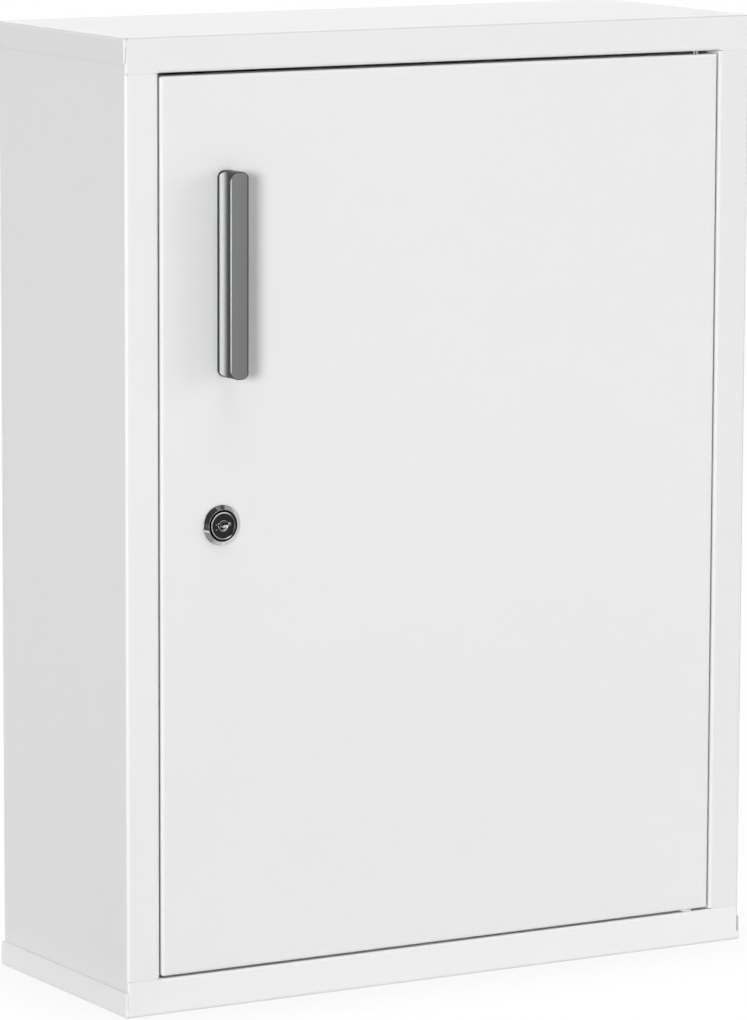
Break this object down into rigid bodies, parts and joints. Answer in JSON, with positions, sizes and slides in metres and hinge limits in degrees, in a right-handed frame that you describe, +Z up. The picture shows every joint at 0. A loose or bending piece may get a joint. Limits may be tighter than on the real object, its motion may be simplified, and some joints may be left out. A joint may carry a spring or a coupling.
{
  "type": "lockable medicine cabinet",
  "caption": "Wall-hung steel medicine cabinet with one hinged door, side handle, cam lock and adjustable shelves on slotted uprights.",
  "frame": {"origin": "centre of the base footprint, on the underside of the tray", "axes": "+X to the right, +Y from the door to the wall, +Z up"},
  "size_m": [0.45, 0.1875, 0.6],
  "materials": {
    "white_coat": "white powder coat, satin gloss",
    "zinc_plate": "zinc plated, dull",
    "bright_steel": "bright plated steel",
    "white_nylon": "natural nylon",
    "grey_rubber": "soft rubber",
    "satin_metal": "satin, brushed along its length",
    "chrome": "polished chrome",
    "nickel": "nickel plated, fine turned",
    "black_plastic": "black, half gloss"
  },
  "bodies": {
    "cabinet": {"top_cap": "white_coat", "bottom_tray": "white_coat", "left_side_panel": "white_coat", "right_side_panel": "white_coat", "back_panel": "white_coat", "left_front_upright": "zinc_plate", "left_rear_upright": "zinc_plate", "right_front_upright": "zinc_plate", "right_rear_upright": "zinc_plate", "lower_shelf": "white_coat", "middle_shelf": "white_coat", "upper_shelf": "white_coat", "lower_shelf_clips": "zinc_plate", "middle_shelf_clips": "zinc_plate", "upper_shelf_clips": "zinc_plate", "door_buffers": "grey_rubber", "upper_hinge_pin": "bright_steel", "lower_hinge_pin": "bright_steel", "lower_hinge_washer": "white_nylon"},
    "door": {"door_panel": "white_coat", "door_stiffener": "white_coat", "upper_hinge_plate": "zinc_plate", "lower_hinge_plate": "zinc_plate", "handle": "satin_metal", "handle_screws": "bright_steel", "lock_bezel": "chrome", "lock_housing": "nickel", "lock_face_ring": "black_plastic", "lock_nut": "nickel"},
    "lock_core": {"lock_plug": "nickel", "lock_cam": "zinc_plate", "lock_cam_screw": "bright_steel"}
  },
  "joints": [
    {"name": "door_hinge", "type": "hinge", "parent": "cabinet", "child": "door", "pos_m": [0.1861, -0.08, 0.3], "axis": [0, 0, 1], "range_deg": [0, 130]},
    {"name": "lock_turn", "type": "hinge", "parent": "door", "child": "lock_core", "pos_m": [-0.1591, -0.085, 0.301], "axis": [0, 1, 0], "range_deg": [0, 90]}
  ]
}
